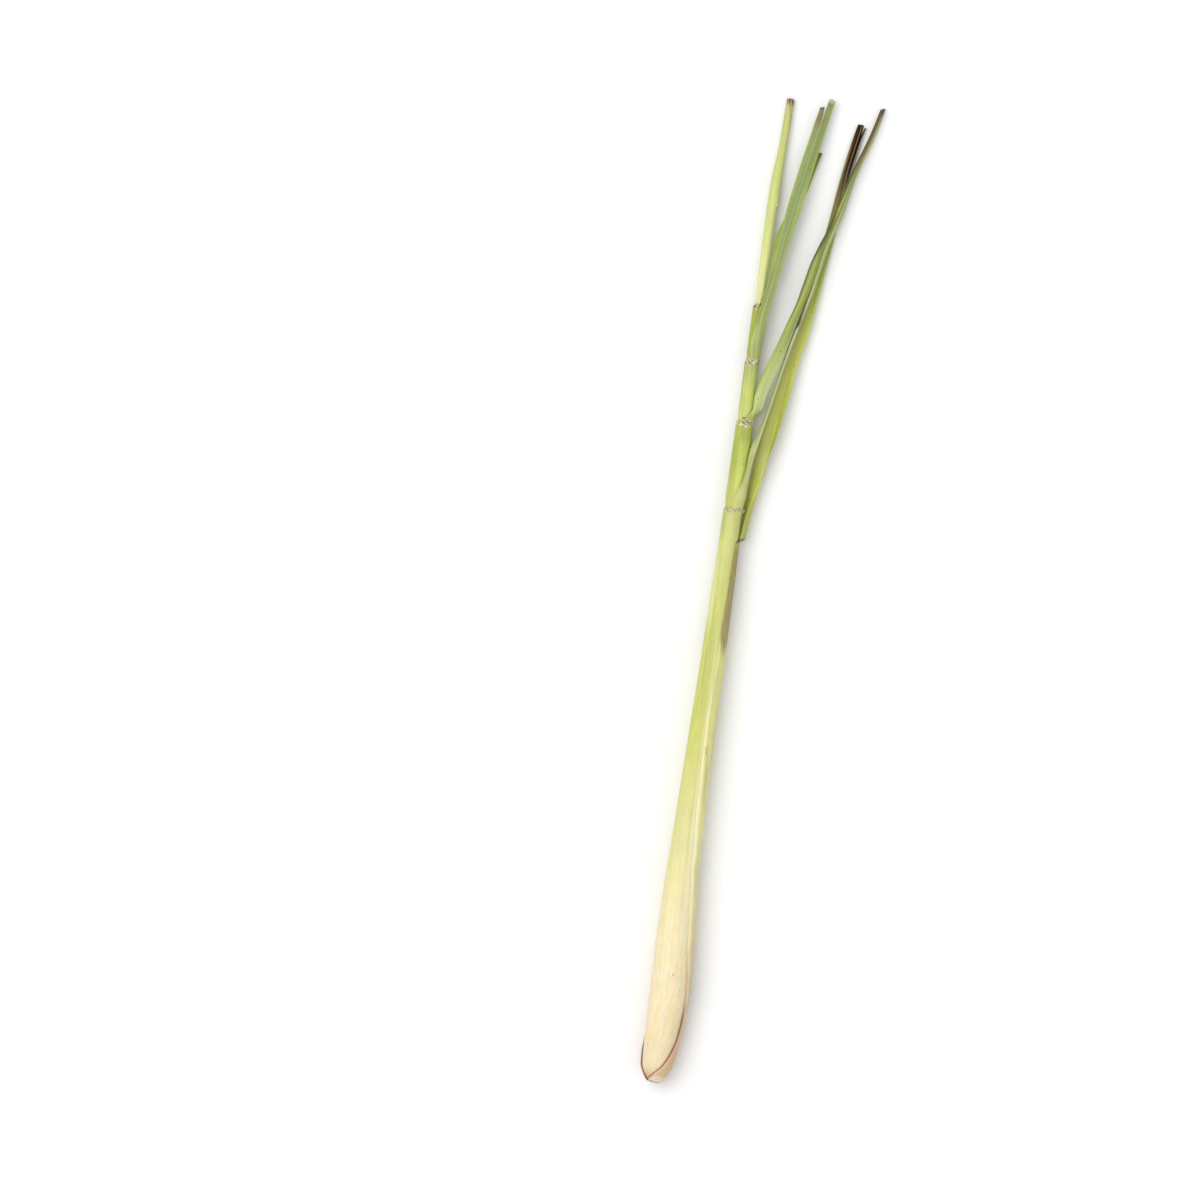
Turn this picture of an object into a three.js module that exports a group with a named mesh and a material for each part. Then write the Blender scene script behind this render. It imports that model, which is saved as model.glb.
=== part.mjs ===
// A lemongrass stalk as it is sold: a pale bulb, cut at the root, that narrows into a neck of leaves rolled
// round each other. A leaf is a sheath, which runs from the crown in the stalk's foot up to the leaf's own
// collar, and a folded blade, which leaves the stalk there. The innermost leaf is still rolled up.
// The stalk lies on its side on z = 0, with +Y from the cut foot to the tips, +X to the right seen from
// above, and +Z up. Millimetres; "distance" is measured along the stalk from its cut face. Angles are in
// degrees round the stalk's axis, from +X towards +Z.
import * as THREE from "three";

const { clamp, degToRad, lerp, radToDeg, smoothstep } = THREE.MathUtils;

// ---------------------------------------------------------------- small tools

// The whole numbers from first to last.
const range = (first, last) => Array.from({ length: last - first + 1 }, (_, i) => first + i);

// The ends of count equal steps from start to end, without start itself.
const evenly = (start, end, count) => range(1, count).map((i) => lerp(start, end, i / count));

// The same for steps that each grow by one ratio.
const growing = (start, end, count) => range(1, count).map((i) => start * (end / start) ** (i / count));

// A smooth function through [distance, value] knots, which never overshoots them and stays level past them.
function through(...knots) {
  const last = knots.length - 1;
  const rise = range(0, last - 1).map((i) => {
    const [[start, from], [end, to]] = [knots[i], knots[i + 1]];
    return (to - from) / (end - start);
  });
  const slope = knots.map((_, i) => {
    if (i === 0) return rise[0];
    if (i === last) return rise[last - 1];
    return rise[i - 1] * rise[i] > 0 ? 2 / (1 / rise[i - 1] + 1 / rise[i]) : 0;
  });
  return (distance) => {
    const at = clamp(distance, knots[0][0], knots[last][0]);
    const i = Math.min(last - 1, range(0, last - 1).findLast((k) => knots[k][0] <= at));
    const [start, from] = knots[i];
    const [end, to] = knots[i + 1];
    const t = (at - start) / (end - start);
    const bend = (end - start) * (slope[i] * t * (1 - t) ** 2 - slope[i + 1] * t ** 2 * (1 - t));
    return lerp(from, to, t * t * (3 - 2 * t)) + bend;
  };
}

// ---------------------------------------------------------------- the stalk's own dimensions

const FOOT = 0.6; // where the two outer sheaths begin
const BULB = 42; // where the stalk is thickest
const NECK = 200; // where the stalk stops narrowing
const TOP = 417.5; // where the rolled innermost leaf is cut off
const COLLARS = [230.6, 242.8, 279.7, 305.3, 328.9]; // where the five open leaves let their blades go

const CLEARANCE = 0.15; // between a sheath and the next one in
const DRY_CLEARANCE = 0.25; // between the outermost, dry sheath and the one that it lies on
const BLADE_CLEARANCE = 0.3; // between a blade and the rolled leaf that it leaves
const WALL = 0.6; // thinnest sheath
const WALL_SHARE = 0.1825; // of the bulb's radius that one sheath and its clearance take up
const LIP = 0.42; // a sheath's thickness at its mouth
const LIP_LENGTH = 8; // over which it thins to that
const SWELL = 6; // a leaf swells to its own radius over this length above the mouth that it leaves
const SEAM = 3; // half the angle left open where a rolled sheath's margins meet
const BLADE = 0.62; // thickness of a blade

// The axis is nearly straight in plan and arches a little off the table between the bulb and the tip.
const axisX = through([0, -0.9], [4, -1.3], [15, -0.75], [28, -0.25], [42, 0], [62, -0.7], [92, -1.3],
  [145, -0.95], [185, -0.4], [230, -0.1], [265, 0.35], [300, -0.3], [335, -0.4], [358, -0.4], [372, -0.3],
  [381, -0.1], [396, 0.8], [TOP, 1.55]);
const axisZ = through([0, 7.7], [BULB, 8.6], [110, 8.9], [160, 8.6], [243, 7.2], [305, 5.7], [372, 3.6],
  [TOP, 1.7]);

// Outer radius of the sheath that makes the bulb and the neck.
const stalkRadius = through([0.6, 2.6], [1.5, 3.3], [3, 4.15], [7, 5.85], [11, 6.35], [20, 7], [28, 7.5],
  [42, 7.95], [62, 7.5], [95, 6.25], [120, 5.6], [162, 4.92], [205, 4.4], [224, 4.05], [243, 3.95]);

// The rings of vertices that all the leaves share, so that nested faces stay parallel.
const STATIONS = [
  FOOT,
  ...growing(FOOT, BULB, 11),
  ...growing(BULB, NECK, 7),
  ...evenly(NECK, COLLARS[0], 2),
  COLLARS[0] + 2,
  ...evenly(COLLARS[0] + 2, COLLARS[1], 2),
  ...aboveCollar(COLLARS[1], COLLARS[2], 3),
  ...aboveCollar(COLLARS[2], COLLARS[3], 2),
  ...aboveCollar(COLLARS[3], COLLARS[4], 2),
  ...aboveCollar(COLLARS[4], TOP, 7),
];

// Two short steps past a collar, then even ones.
function aboveCollar(collar, end, count) {
  return [collar + 3, collar + 7, ...evenly(collar + 7, end, count)];
}

// ---------------------------------------------------------------- the leaves

// A leaf wraps its sheath from one margin angle to the other in `columns` strips, of which the middle
// 2 * reach go on as the blade. The blade's midrib runs along x and z, and its low and high halves, the ones
// on the sides of the smaller and the larger angles, leave it with a width and a heading of their own.

// The margins of a sheath that is rolled right round, with its midrib facing the given angle.
const rolled = (facing) => () => [facing - 180 + SEAM, facing + 180 - SEAM];

// The outermost sheath is dry and has drawn back from the stalk's front. At the foot its margins meet.
const dryMargins = [
  through([1.5, -209], [4.2, -197], [11, -186], [15, -174], [21, -158], [35, -148], [60, -143], [162, -135],
    [205, -122], [230, -105]),
  through([1.5, 149], [2.9, 118], [6.3, 80], [12, 51], [20, 30], [30, 24], [45, 36], [79, 50], [162, 74],
    [205, 58], [230, 42]),
];

const LEAVES = [
  {
    name: "leaf_1",
    colour: 0xb0a968,
    foot: FOOT,
    columns: 14,
    reach: 7,
    margins: (distance) => dryMargins.map((margin) => margin(distance)),
    wall: through([7, 0.6], [20, 0.9], [30, 1], [55, 1], [80, 0.85], [140, 0.6]),
    blade: {
      opening: 2,
      tip: 410.5,
      x: through([231, 6.4], [242, 7.7], [255, 10.1], [272, 12.7], [288, 14.4], [305, 16.4], [322, 19.9],
        [339, 22.4], [356, 24.7], [372, 26.7], [389, 28.8], [406, 31.8], [411, 32.8]),
      z: through([231, 6.7], [255, 5.8], [288, 4.1], [322, 2.7], [356, 1.5], [389, 0.8], [411, 0.33]),
      low: {
        width: through([231, 4.8], [255, 5.2], [272, 5.5], [288, 4.9], [300, 4], [320, 3.2], [360, 2.6],
          [411, 2.2]),
        heading: through([232, 233], [255, 207], [280, 165], [310, 150], [411, 146]),
      },
      high: {
        width: through([231, 2.6], [262, 2.8], [290, 3.3], [340, 2.5], [411, 2.2]),
        heading: through([232, 138], [255, 112], [280, 60], [310, 35], [411, 34]),
      },
      split: { from: 402, low: { tip: 410.5, shift: -0.1 }, high: { tip: 409.4, shift: 0.7 } },
    },
  },
  {
    name: "leaf_2",
    colour: 0xe9e2ae,
    foot: FOOT,
    columns: 22,
    reach: 3,
    margins: rolled(45),
    radius: stalkRadius,
    ear: 1.5,
    blade: {
      opening: 14,
      tip: 418.3,
      x: through([243, 2.9], [255, 4.3], [263, 5.2], [272, 6.8], [288, 10], [305, 13.3], [322, 16.9],
        [339, 21.1], [356, 24.3], [372, 28.6], [389, 32.3], [406, 37.9], [419, 41.2]),
      z: through([243, 10.8], [263, 10.3], [288, 9.8], [322, 8.8], [356, 7], [389, 4], [419, 1.5]),
      low: {
        width: through([243, 4.4], [288, 3.7], [322, 3], [372, 2.2], [419, 1]),
        heading: through([243, -62], [257, -82], [288, -76], [330, -70], [372, -60], [419, -40]),
      },
      high: {
        width: through([243, 3.2], [263, 2], [275, 3], [288, 3.7], [322, 3], [372, 2.2], [419, 1]),
        heading: through([243, 125], [260, 138], [275, 235], [288, 254], [330, 250], [372, 250], [419, 230]),
      },
    },
  },
  {
    name: "leaf_3",
    colour: 0xbfcb80,
    foot: 4.5,
    columns: 18,
    reach: 3,
    margins: rolled(40),
    radius: through([243, 3.95], [262, 3.95], [272, 3.8], [280, 3.6]),
    ear: 0.3,
    blade: {
      opening: 7,
      tip: 417.7,
      x: through([280, 3.4], [288, 4.3], [297, 6.4], [305, 8.8], [322, 13.4], [339, 18.3], [356, 22.1],
        [372, 27.2], [389, 31.9], [406, 37.3], [418, 40.3]),
      z: through([280, 9.2], [297, 9.6], [322, 9.2], [356, 7.9], [389, 5.6], [418, 3.1]),
      low: {
        width: through([280, 3.3], [288, 3.1], [297, 2.9], [305, 2.9], [322, 2.2], [340, 2], [372, 1.1],
          [418, 0.7]),
        heading: through([280, -35], [297, -25], [310, -16], [340, -20], [372, -38], [418, -48]),
      },
      high: {
        width: through([280, 3], [288, 2.5], [297, 2.8], [305, 2.6], [314, 2], [331, 1.4], [339, 1.9],
          [347, 2], [356, 1.3], [364, 0.8], [372, 1], [389, 1.2], [418, 0.8]),
        heading: through([280, 222], [297, 205], [310, 194], [356, 198], [418, 208]),
      },
    },
  },
  {
    name: "leaf_4",
    colour: 0xa3b277,
    foot: 7.5,
    columns: 16,
    reach: 3,
    margins: rolled(57),
    radius: through([280, 3.25], [293, 2.98], [305, 2.9]),
    ear: 0.5,
    blade: {
      opening: 18,
      tip: 419.1,
      x: through([305, 0.5], [322, 1.5], [339, 4], [356, 6.4], [372, 9], [389, 11.8], [406, 14.9], [419, 17]),
      z: through([305, 9.4], [322, 9.7], [339, 9.6], [372, 8], [419, 4.6]),
      low: {
        width: through([305, 3.2], [322, 2.4], [339, 2.2], [356, 2.35], [372, 3.1], [419, 3]),
        heading: through([305, -34], [322, -28], [345, -15], [419, -12]),
      },
      high: {
        width: through([305, 3.4], [322, 2.4], [339, 2.2], [356, 2.35], [372, 3.1], [419, 2.6]),
        heading: through([305, 214], [322, 208], [345, 194], [419, 192]),
      },
      split: { from: 407, low: { tip: 419.1, shift: 0.8 }, high: { tip: 415.3, shift: -0.6 } },
    },
  },
  {
    name: "leaf_5",
    colour: 0xb6c25e,
    foot: 10.5,
    columns: 16,
    reach: 3,
    margins: rolled(20),
    radius: through([305, 2.6], [329, 2.45]),
    ear: 0.2,
    blade: {
      opening: 14,
      tip: 395.6,
      x: through([329, 1.8], [339, 2.9], [356, 4.9], [372, 9.2], [381, 11.7], [396, 15.5]),
      z: through([329, 6.4], [339, 6.4], [356, 5.8], [396, 4.2]),
      low: {
        width: through([329, 2.8], [356, 2.6], [396, 2.7]),
        heading: through([329, -50], [356, -26], [396, -20]),
      },
      high: {
        width: through([329, 2.8], [356, 2.6], [396, 2]),
        heading: through([329, 215], [356, 200], [396, 198]),
      },
    },
  },
];
LEAVES.forEach((leaf, i) => (leaf.collar = COLLARS[i]));

const HEART = {
  name: "heart_leaf",
  colour: 0xdde19c,
  foot: 14,
  columns: 16,
  margin: 24, // where its rolled edge lies
  step: 0.14, // that edge's height, as a share of the radius
  radius: through([329, 2.1], [345, 2.26], [372, 2.42], [382, 2.38], [396, 1.88], [TOP, 1.75]),
};

const CROWN = { name: "root_crown", colour: 0xd6c39b, columns: 16, cutRadius: 2.1 };

// ---------------------------------------------------------------- how thick each leaf is, and where it lies

const ringOf = (distance, radius, angle) =>
  new THREE.Vector3(
    axisX(distance) + radius * Math.cos(degToRad(angle)),
    distance,
    axisZ(distance) + radius * Math.sin(degToRad(angle)),
  );

function wallOf(index, distance) {
  const leaf = LEAVES[index];
  const share = Math.max(WALL, WALL_SHARE * stalkRadius(distance) - CLEARANCE);
  const full = leaf.wall?.(distance) ?? share;
  return lerp(full, LIP, smoothstep(distance, leaf.collar - LIP_LENGTH, leaf.collar));
}

const innerRadius = (index, distance) => outerRadius(index, distance) - wallOf(index, distance);

// The outermost leaf lies on the one below. The others fill the sheath round them as far as its mouth, and
// swell to their own radius past it. The rolled innermost leaf is the one after the last in LEAVES.
function outerRadius(index, distance) {
  if (index === 0) return outerRadius(1, distance) + DRY_CLEARANCE + wallOf(0, distance);
  const own = (LEAVES[index] ?? HEART).radius(distance);
  if (index === 1) return own;
  const mouth = LEAVES[index - 1].collar;
  const nested = innerRadius(index - 1, Math.min(distance, mouth)) - CLEARANCE;
  return lerp(nested, own, smoothstep(distance, mouth, mouth + SWELL));
}

// ---------------------------------------------------------------- solids from rings

// A leaf of even or changing thickness. Patches of it are added as rings, each a row of { outer, inner }
// points across the leaf, and join wherever they have points in common.
class Sheet {
  vertices = new Map();
  points = [];
  triangles = [];

  vertex({ outer, inner }) {
    const key = [...outer.toArray(), ...inner.toArray()].map((value) => value.toFixed(3)).join();
    if (!this.vertices.has(key)) this.vertices.set(key, this.points.push({ outer, inner }) - 1);
    return this.vertices.get(key);
  }

  patch(rings) {
    const ids = rings.map((ring) => ring.map((point) => this.vertex(point)));
    ids.slice(1).forEach((upper, i) => {
      const lower = ids[i];
      for (const j of range(0, lower.length - 2)) {
        this.triangles.push([lower[j], upper[j], upper[j + 1]], [lower[j], upper[j + 1], lower[j + 1]]);
      }
    });
  }

  // Both faces, and a wall between them along every edge that has a triangle on one side only.
  geometry() {
    const inner = this.points.length;
    const edges = this.triangles.flatMap(([a, b, c]) => [[a, b], [b, c], [c, a]]);
    const known = new Set(edges.map(String));
    const rim = edges.filter(([a, b]) => !known.has(String([b, a])));
    const faces = [
      ...this.triangles,
      ...this.triangles.map(([a, b, c]) => [a + inner, c + inner, b + inner]),
      ...rim.flatMap(([a, b]) => [[b, a, a + inner], [b, a + inner, b + inner]]),
    ];
    return solid([...this.points.map((p) => p.outer), ...this.points.map((p) => p.inner)], faces);
  }
}

// A solid body from closed loops of points, with a flat end at each of the two outermost loops.
function rod(loops) {
  const size = loops[0].length;
  const points = loops.flat();
  const centre = (loop) => {
    const sum = loop.reduce((total, point) => total.add(point), new THREE.Vector3());
    return points.push(sum.divideScalar(size)) - 1;
  };
  const faces = [];
  range(0, loops.length - 2).forEach((i) => {
    for (const j of range(0, size - 1)) {
      const [lower, upper] = [i * size + j, (i + 1) * size + j];
      const [lowerNext, upperNext] = [i * size + ((j + 1) % size), (i + 1) * size + ((j + 1) % size)];
      faces.push([lower, upper, upperNext], [lower, upperNext, lowerNext]);
    }
  });
  const [first, last] = [centre(loops[0]), centre(loops.at(-1))];
  const lastLoop = (loops.length - 1) * size;
  for (const j of range(0, size - 1)) {
    faces.push([first, j, (j + 1) % size], [last, lastLoop + ((j + 1) % size), lastLoop + j]);
  }
  return solid(points, faces);
}

function solid(points, faces) {
  const geometry = new THREE.BufferGeometry().setFromPoints(points).setIndex(faces.flat());
  geometry.computeVertexNormals();
  return geometry;
}

// ---------------------------------------------------------------- leaves with a blade

function sheathRing(index, distance) {
  const leaf = LEAVES[index];
  const [from, to] = leaf.margins(distance);
  return range(0, leaf.columns).map((column) => {
    const angle = lerp(from, to, column / leaf.columns);
    const atEar = distance === leaf.collar && Math.abs(column - leaf.columns / 2) === leaf.reach;
    const push = atEar ? (leaf.ear ?? 0) : 0;
    const outer = ringOf(distance, outerRadius(index, distance) + push, angle);
    outer.z = Math.max(outer.z, 0); // the flat spot that the bulb rests on
    return { outer, inner: ringOf(distance, innerRadius(index, distance) + push, angle) };
  });
}

// Points along the middle of a blade's thickness, from its low margin to its high one. They start on the
// ring of the sheath's mouth and turn round the stalk's axis to where the open blade has them, and never
// come nearer to that axis than the rolled leaf inside allows.
function bladeLine(index, distance) {
  const { blade, collar, columns, margins, reach } = LEAVES[index];
  const [from, to] = margins(collar);
  const opened = smoothstep(distance, collar, collar + blade.opening);
  const clear = outerRadius(index + 1, distance) + BLADE_CLEARANCE + BLADE / 2;
  return range(-reach, reach).map((step) => {
    const half = step < 0 ? blade.low : blade.high;
    const heading = degToRad(half.heading(distance));
    const across = (Math.abs(step) / reach) * half.width(distance);
    const x = blade.x(distance) + across * Math.cos(heading) - axisX(distance);
    const z = blade.z(distance) + across * Math.sin(heading) - axisZ(distance);
    const rolledAngle = lerp(from, to, (columns / 2 + step) / columns);
    const angle = lerp(rolledAngle, radToDeg(Math.atan2(z, x)), opened);
    const radius = lerp(innerRadius(index, collar) + BLADE / 2, Math.hypot(x, z), opened);
    return ringOf(distance, Math.max(clear, radius), angle);
  });
}

// A row of points across a blade, thickened to both sides of the line.
function thicken(line) {
  return line.map((point, i) => {
    const along = line[Math.min(i + 1, line.length - 1)].clone().sub(line[Math.max(i - 1, 0)]);
    const outward = new THREE.Vector3(along.z, 0, -along.x).setLength(BLADE / 2);
    return { outer: point.clone().add(outward), inner: point.clone().sub(outward) };
  });
}

// The part of a split tip on one side of the midrib, drawn aside from the other as it nears its end.
function halfTip(index, columns, { from }, { tip, shift }) {
  const rings = evenly(from, tip, 2).map((distance) => {
    const aside = new THREE.Vector3(shift * ((distance - from) / (tip - from)), 0, 0);
    const line = bladeLine(index, distance).filter((_, column) => columns.includes(column));
    return thicken(line.map((point) => point.add(aside)));
  });
  const start = thicken(bladeLine(index, from)).filter((_, column) => columns.includes(column));
  return [start, ...rings];
}

// The shared rings of a piece that begins at foot and ends at end.
function ringsBetween(foot, end) {
  return [foot, ...STATIONS.filter((distance) => distance > foot + 0.2 && distance < end - 0.2), end];
}

function leafGeometry(index) {
  const { blade, collar, columns, foot, reach } = LEAVES[index];
  const sheet = new Sheet();
  sheet.patch(ringsBetween(foot, collar).map((distance) => sheathRing(index, distance)));

  const end = blade.split?.from ?? blade.tip;
  const mouth = sheathRing(index, collar).slice(columns / 2 - reach, columns / 2 + reach + 1);
  const rows = [...STATIONS.filter((distance) => distance > collar && distance < end - 2), end];
  sheet.patch([mouth, ...rows.map((distance) => thicken(bladeLine(index, distance)))]);
  if (blade.split) {
    sheet.patch(halfTip(index, range(0, reach), blade.split, blade.split.low));
    sheet.patch(halfTip(index, range(reach, 2 * reach), blade.split, blade.split.high));
  }
  return sheet.geometry();
}

// ---------------------------------------------------------------- the rolled heart and the crown

// The innermost leaf is rolled so tightly that it is solid, with one margin showing as a low step.
function heartGeometry() {
  const { columns, foot, margin, step } = HEART;
  const loop = (distance) => {
    const radius = outerRadius(LEAVES.length, distance);
    return range(0, columns - 1).map((column) => {
      const turn = column / (columns - 1);
      return ringOf(distance, radius * (1 - step * turn), margin + 360 * ((column + 0.1) / columns));
    });
  };
  return rod(ringsBetween(foot, TOP).map(loop));
}

// The crown fills what the leaves leave free, so it steps in under the foot of each of them.
function crownGeometry() {
  const loop = ([distance, radius]) =>
    range(0, CROWN.columns - 1).map((column) => ringOf(distance, radius, (360 * column) / CROWN.columns));
  const profile = [[0, CROWN.cutRadius]];
  LEAVES.slice(1).forEach(({ foot }, i) => {
    const next = (LEAVES[i + 2] ?? HEART).foot - CLEARANCE;
    const radiusAt = (distance) => innerRadius(i + 1, distance) - CLEARANCE;
    profile.push(...ringsBetween(foot, next).map((distance) => [distance, radiusAt(distance)]));
  });
  return rod(profile.map(loop));
}

// ---------------------------------------------------------------- the whole stalk

function piece({ name, colour }, geometry) {
  const material = new THREE.MeshStandardMaterial({ color: colour, roughness: 0.55, metalness: 0 });
  const mesh = new THREE.Mesh(geometry, material);
  mesh.name = name;
  return mesh;
}

const stalk = new THREE.Group();
stalk.add(piece(CROWN, crownGeometry()));
LEAVES.forEach((leaf, index) => stalk.add(piece(leaf, leafGeometry(index))));
stalk.add(piece(HEART, heartGeometry()));

// The origin is on the table, under the middle of the stalk's box.
const middle = new THREE.Box3().setFromObject(stalk, true).getCenter(new THREE.Vector3());
stalk.position.set(-middle.x, -middle.y, 0);

const lemongrass = new THREE.Group();
lemongrass.add(stalk);

export default lemongrass;
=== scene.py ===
import math
from functools import partial, reduce

import bpy
import numpy as np
from mathutils import Euler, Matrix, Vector


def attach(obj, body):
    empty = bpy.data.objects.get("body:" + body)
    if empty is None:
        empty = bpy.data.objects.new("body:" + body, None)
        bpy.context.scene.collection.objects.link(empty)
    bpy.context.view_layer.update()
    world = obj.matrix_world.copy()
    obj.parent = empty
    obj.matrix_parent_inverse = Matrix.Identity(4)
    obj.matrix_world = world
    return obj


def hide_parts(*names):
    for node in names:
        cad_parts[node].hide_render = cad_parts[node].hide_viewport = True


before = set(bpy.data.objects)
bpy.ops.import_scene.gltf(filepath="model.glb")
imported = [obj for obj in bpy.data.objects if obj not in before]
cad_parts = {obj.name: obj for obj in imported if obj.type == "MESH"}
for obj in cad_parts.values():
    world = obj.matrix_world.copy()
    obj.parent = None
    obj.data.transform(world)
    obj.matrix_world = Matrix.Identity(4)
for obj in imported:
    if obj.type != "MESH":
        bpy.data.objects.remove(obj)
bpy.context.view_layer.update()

# A lemongrass stalk that lies on a table. Shapes are worked out in millimetres in the stalk's own frame: y is
# the distance from the cut foot, x = 0 is the middle of the neck, and z = 0 is the table. They are moved to
# the row's frame when a mesh is made. Angles are in degrees round the stalk's axis, from +X towards +Z.
MM = 0.001
SHIFT = np.array([-16.8073, -209.55, 0.0])  # from the stalk's frame to the row's, in millimetres

# ---- small tools


def through(knots):
    """A smooth function of the distance through the knots' values, without overshoot and level past them."""
    xs, ys = np.array(list(knots.items()), float).T
    rise = np.diff(ys) / np.diff(xs)
    slope = np.concatenate([rise[:1], np.zeros(len(xs) - 2), rise[-1:]])
    for i in range(1, len(xs) - 1):
        if rise[i - 1] * rise[i] > 0:
            slope[i] = 2 / (1 / rise[i - 1] + 1 / rise[i])

    def at(s):
        s = np.clip(s, xs[0], xs[-1])
        i = np.clip(np.searchsorted(xs, s, side="right") - 1, 0, len(xs) - 2)
        step = xs[i + 1] - xs[i]
        t = (s - xs[i]) / step
        bend = step * (slope[i] * t * (1 - t) ** 2 - slope[i + 1] * t * t * (1 - t))
        return ys[i] + (ys[i + 1] - ys[i]) * t * t * (3 - 2 * t) + bend

    return at


def smooth(x, low, high):
    """0 below low and 1 above high, with a soft step between them."""
    t = np.clip((x - low) / (high - low), 0, 1)
    return t * t * (3 - 2 * t)


def blend(a, b, t):
    return a + (b - a) * t


def bell(x, width):
    """1 where x is 0, falling off over the width on both sides."""
    return np.exp(-(x / width) ** 2)


NOISE_SIDE = 64  # bumps after which the noise repeats


def noise(seed, x, y):
    """Smooth noise from -1 to 1, with one bump per unit of x and y."""
    table = np.random.RandomState(seed).uniform(-1, 1, (NOISE_SIDE, NOISE_SIDE))
    x, y = np.broadcast_arrays(np.asarray(x, float), np.asarray(y, float))
    i, j = np.floor(x).astype(int), np.floor(y).astype(int)
    u, v = smooth(x - i, 0, 1), smooth(y - j, 0, 1)

    def corner(a, b):
        return table[a % NOISE_SIDE, b % NOISE_SIDE]

    low = blend(corner(i, j), corner(i + 1, j), u)
    return blend(low, blend(corner(i, j + 1), corner(i + 1, j + 1), u), v)


# ---- the stalk's dimensions

FOOT = 0.6  # where the two outer sheaths begin
TOP = 417.5  # where the rolled innermost leaf is cut off
COLLARS = [228.9, 242.8, 279.7, 305.3, 328.9]  # where the five open leaves let their blades go

CLEARANCE = 0.15  # between a sheath and the next one in
DRY_CLEARANCE = 0.25  # between the outermost, dry sheath and the one that it lies on
BLADE_CLEARANCE = 0.3  # between a blade and the rolled leaf that it leaves
WALL = 0.6  # thinnest sheath
WALL_SHARE = 0.1825  # of the bulb's radius that one sheath and its clearance take up
LIP = 0.42  # a sheath's thickness at its mouth
LIP_LENGTH = 8  # over which it thins to that
SWELL = 6  # a leaf swells to its own radius over this length above the mouth that it leaves
SEAM = 3  # half the angle left open where a rolled sheath's margins meet
BLADE = 0.62  # thickness of the middle of a blade, beside its midrib

axis_x = through({0: -0.9, 4: -1.3, 15: -0.75, 28: -0.25, 42: 0, 62: -0.7, 92: -1.3, 145: -0.95, 185: -0.4,
    230: -0.1, 265: 0.35, 300: -0.3, 335: -0.4, 358: -0.4, 372: -0.3, 381: -0.1, 396: 0.8, TOP: 1.55})
axis_z = through({0: 7.7, 42: 8.6, 110: 8.9, 160: 8.6, 243: 7.2, 305: 5.7, 372: 3.6, TOP: 1.7})
stalk_radius = through({0.6: 2.6, 1.5: 3.3, 3: 4.15, 7: 5.85, 11: 6.35, 20: 7, 28: 7.5, 42: 7.95, 62: 7.5,
    95: 6.25, 120: 5.6, 162: 4.92, 205: 4.4, 224: 4.05, 243: 3.95})
heart_radius = through({329: 2.1, 345: 2.26, 372: 2.42, 382: 2.38, 396: 1.88, TOP: 1.75})


def half(width, heading):
    """One half of a blade: how wide it is, and the angle at which it leaves the midrib."""
    return {"width": through(width), "heading": through(heading)}


def rolled(facing):
    """The margins of a sheath that is rolled right round, with its midrib facing the given angle."""
    return [lambda s: facing - 180 + SEAM + 0 * s, lambda s: facing + 180 - SEAM + 0 * s]


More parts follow.
